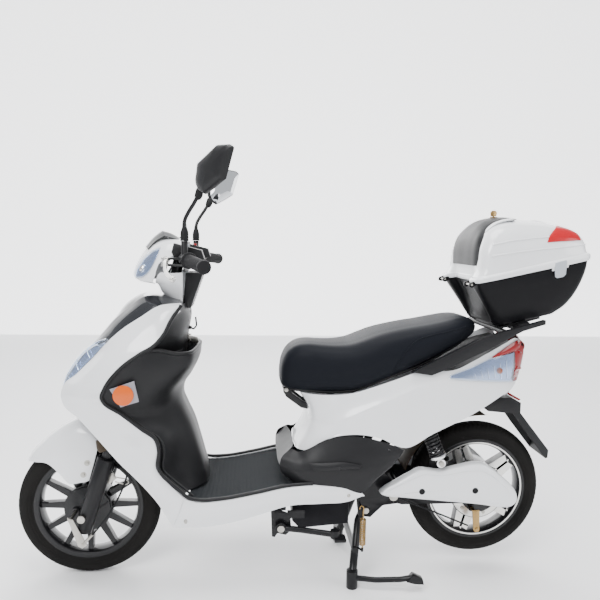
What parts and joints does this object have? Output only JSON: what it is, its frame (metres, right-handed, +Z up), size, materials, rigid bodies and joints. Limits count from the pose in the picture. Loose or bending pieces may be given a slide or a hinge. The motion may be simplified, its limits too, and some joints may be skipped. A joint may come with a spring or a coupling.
{
  "type": "moped scooter",
  "caption": "Electric moped scooter with a step-through floor, one long seat, a luggage box, a centre stand and a side stand",
  "frame": {"origin": "On the ground under the middle of the bounding box, scooter on its centre stand", "axes": "+X forward, +Y to the rider's left, +Z up"},
  "size_m": [1.6555, 0.671, 1.253],
  "materials": {
    "panel_white": "pearl gloss",
    "trim_black": "fine satin grain",
    "garnish_grey": "gloss",
    "lens_clear": "clear, slightly blue",
    "lens_red": "moulded red lens",
    "lens_amber": "moulded amber reflector",
    "mat_rubber": "ribbed",
    "grip_rubber": "matt",
    "seat_vinyl": "satin black vinyl over foam",
    "frame_black": "satin black",
    "zinc_steel": "zinc plated",
    "alloy": "cast and machined",
    "rim_black": "black with machined faces",
    "tyre_black": "matt",
    "battery_case": "moulded case",
    "spring_bronze": "passivated"
  },
  "bodies": {
    "chassis": {"front_panels": "panel_white", "front_garnish": "garnish_grey", "front_lamps": "lens_clear", "leg_shield": "trim_black", "side_reflectors": "lens_amber", "floorboard": "trim_black", "floor_mat": "mat_rubber", "sills": "panel_white", "rear_covers": "panel_white", "rear_trims": "trim_black", "tail_lamp": "lens_red", "luggage_carrier": "frame_black", "rear_mudguard": "trim_black", "main_frame": "frame_black", "battery": "battery_case", "motor_controller": "alloy", "box_base": "trim_black", "chassis_hardware": "zinc_steel"},
    "seat": {"seat_cushion": "seat_vinyl", "seat_base": "trim_black"},
    "lid": {"box_lid": "panel_white"},
    "latch_left": {"latch_left": "garnish_grey"},
    "latch_right": {"latch_right": "garnish_grey"},
    "box_key": {"box_key": "zinc_steel"},
    "ignition_key": {"ignition_key": "zinc_steel"},
    "bag_hook": {"bag_hook": "zinc_steel"},
    "centre_stand": {"centre_stand": "frame_black"},
    "stand_spring": {"stand_spring": "spring_bronze"},
    "side_stand": {"side_stand": "frame_black"},
    "swingarm": {"swingarm": "frame_black", "motor_covers": "panel_white", "rear_axle": "zinc_steel", "rear_brake_cable": "grip_rubber"},
    "rear_brake_arm": {"rear_brake_arm": "zinc_steel"},
    "rear_wheel": {"rear_tyre": "tyre_black", "rear_rim": "rim_black"},
    "shock_upper": {"shock_bodies": "frame_black", "shock_springs": "frame_black"},
    "shock_lower": {"shock_rods": "zinc_steel"},
    "steering": {"fork_crown": "frame_black", "handlebar": "frame_black", "handlebar_cowl": "panel_white", "steering_cover": "trim_black", "headlight": "lens_clear", "bar_controls": "trim_black", "front_brake_cable": "grip_rubber", "grip_left": "grip_rubber"},
    "throttle": {"throttle_grip": "grip_rubber"},
    "brake_lever_left": {"brake_lever_left": "alloy"},
    "brake_lever_right": {"brake_lever_right": "alloy"},
    "mirror_left": {"mirror_left": "trim_black"},
    "mirror_right": {"mirror_right": "trim_black"},
    "horn_button": {"horn_button": "trim_black"},
    "light_switch": {"light_switch": "trim_black"},
    "fork": {"fork_sliders": "alloy", "front_fender": "panel_white", "front_axle": "zinc_steel"},
    "front_brake_arm": {"front_brake_arm": "zinc_steel"},
    "front_wheel": {"front_tyre": "tyre_black", "front_rim": "rim_black"}
  },
  "joints": [
    {"name": "steering_turn", "type": "hinge", "parent": "chassis", "child": "steering", "pos_m": [0.38, 0, 0.83], "axis": [-0.309, 0, 0.9511], "range_deg": [-40, 40]},
    {"name": "fork_slide", "type": "slide", "parent": "steering", "child": "fork", "axis": [-0.309, 0, 0.9511], "range_m": [0, 0.035], "stiffness_N_per_m": 8000, "springref_m": -0.035, "deforming": ["front_brake_cable"]},
    {"name": "front_wheel_spin", "type": "hinge", "parent": "fork", "child": "front_wheel", "pos_m": [0.6076, 0, 0.21], "axis": [0, 1, 0], "continuous": true},
    {"name": "front_brake_arm_turn", "type": "hinge", "parent": "fork", "child": "front_brake_arm", "pos_m": [0.639, 0, 0.207], "axis": [0, 1, 0], "range_deg": [0, 10]},
    {"name": "throttle_turn", "type": "hinge", "parent": "steering", "child": "throttle", "pos_m": [0.337, -0.092, 0.965], "axis": [-0.366, -0.9269, -0.0835], "range_deg": [0, 70], "stiffness_Nm_per_rad": 0.25, "springref_deg": -11.46},
    {"name": "brake_lever_left_pull", "type": "hinge", "parent": "steering", "child": "brake_lever_left", "pos_m": [0.36, 0.164, 0.951], "axis": [0, 0, 1], "range_deg": [0, 12], "stiffness_Nm_per_rad": 2, "springref_deg": -17.19},
    {"name": "brake_lever_right_pull", "type": "hinge", "parent": "steering", "child": "brake_lever_right", "pos_m": [0.36, -0.164, 0.951], "axis": [0, 0, -1], "range_deg": [0, 12], "stiffness_Nm_per_rad": 2, "springref_deg": -17.19},
    {"name": "mirror_left_turn", "type": "hinge", "parent": "steering", "child": "mirror_left", "pos_m": [0.308, 0.174, 1], "axis": [0, 0, 1], "range_deg": [-25, 25]},
    {"name": "mirror_right_turn", "type": "hinge", "parent": "steering", "child": "mirror_right", "pos_m": [0.308, -0.174, 1], "axis": [0, 0, 1], "range_deg": [-25, 25]},
    {"name": "horn_button_push", "type": "slide", "parent": "steering", "child": "horn_button", "axis": [0.2364, 0, -0.9717], "range_m": [0, 0.003], "stiffness_N_per_m": 400, "springref_m": -0.001},
    {"name": "light_switch_push", "type": "slide", "parent": "steering", "child": "light_switch", "axis": [0.2364, 0, -0.9717], "range_m": [0, 0.003], "stiffness_N_per_m": 400, "springref_m": -0.001},
    {"name": "ignition_key_turn", "type": "hinge", "parent": "chassis", "child": "ignition_key", "pos_m": [0.316, 0, 0.719], "axis": [0.9701, 0, 0.2425], "range_deg": [0, 90]},
    {"name": "bag_hook_fold", "type": "hinge", "parent": "chassis", "child": "bag_hook", "pos_m": [0.309, 0, 0.749], "axis": [0, -1, 0], "range_deg": [0, 50]},
    {"name": "seat_lift", "type": "hinge", "parent": "chassis", "child": "seat", "pos_m": [0.022, 0, 0.566], "axis": [0, 1, 0], "range_deg": [0, 65]},
    {"name": "rear_suspension", "type": "hinge", "parent": "chassis", "child": "swingarm", "pos_m": [-0.3, 0, 0.256], "axis": [0, 1, 0], "range_deg": [0, 5], "stiffness_Nm_per_rad": 2000, "deforming": ["shock_springs"]},
    {"name": "rear_wheel_spin", "type": "hinge", "parent": "swingarm", "child": "rear_wheel", "pos_m": [-0.5776, 0, 0.245], "axis": [0, 1, 0], "continuous": true},
    {"name": "rear_brake_arm_turn", "type": "hinge", "parent": "swingarm", "child": "rear_brake_arm", "pos_m": [-0.555, 0, 0.2], "axis": [0, -1, 0], "range_deg": [0, 10]},
    {"name": "shock_upper_swing", "type": "hinge", "parent": "chassis", "child": "shock_upper", "pos_m": [-0.38, 0, 0.497], "axis": [0, 1, 0], "range_deg": [-2.7, 0]},
    {"name": "shock_lower_swing", "type": "hinge", "parent": "swingarm", "child": "shock_lower", "pos_m": [-0.43, 0, 0.369], "axis": [0, 1, 0], "range_deg": [-7.8, 0]},
    {"name": "centre_stand_fold", "type": "hinge", "parent": "chassis", "child": "centre_stand", "pos_m": [-0.218, 0, 0.212], "axis": [0, 1, 0], "range_deg": [0, 75], "deforming": ["stand_spring"]},
    {"name": "stand_spring_swing", "type": "hinge", "parent": "chassis", "child": "stand_spring", "pos_m": [-0.198, 0, 0.238], "axis": [0, 1, 0], "range_deg": [0, 57]},
    {"name": "side_stand_fold", "type": "hinge", "parent": "chassis", "child": "side_stand", "pos_m": [0.039, 0, 0.19], "axis": [0, -1, 0], "range_deg": [0, 80]},
    {"name": "lid_lift", "type": "hinge", "parent": "chassis", "child": "lid", "pos_m": [-0.4934, 0, 0.896], "axis": [0, 1, 0], "range_deg": [0, 70]},
    {"name": "latch_left_turn", "type": "hinge", "parent": "lid", "child": "latch_left", "pos_m": [-0.7432, 0.1645, 0.97365], "axis": [0.978, 0, -0.2085], "range_deg": [0, 90]},
    {"name": "latch_right_turn", "type": "hinge", "parent": "lid", "child": "latch_right", "pos_m": [-0.7432, -0.1645, 0.97365], "axis": [-0.978, 0, 0.2085], "range_deg": [0, 90]},
    {"name": "box_key_turn", "type": "hinge", "parent": "lid", "child": "box_key", "pos_m": [-0.606, 0, 1.09], "axis": [0, 0, 1], "range_deg": [0, 90]}
  ],
  "couplings": [
    {"joint": "front_brake_arm_turn", "follows": "brake_lever_right_pull", "ratio": 0.8333},
    {"joint": "rear_brake_arm_turn", "follows": "brake_lever_left_pull", "ratio": 0.8333},
    {"joint": "shock_upper_swing", "follows": "rear_suspension", "ratio": -0.526},
    {"joint": "shock_lower_swing", "follows": "rear_suspension", "ratio": -1.526},
    {"joint": "stand_spring_swing", "follows": "centre_stand_fold", "ratio": 0.755}
  ]
}
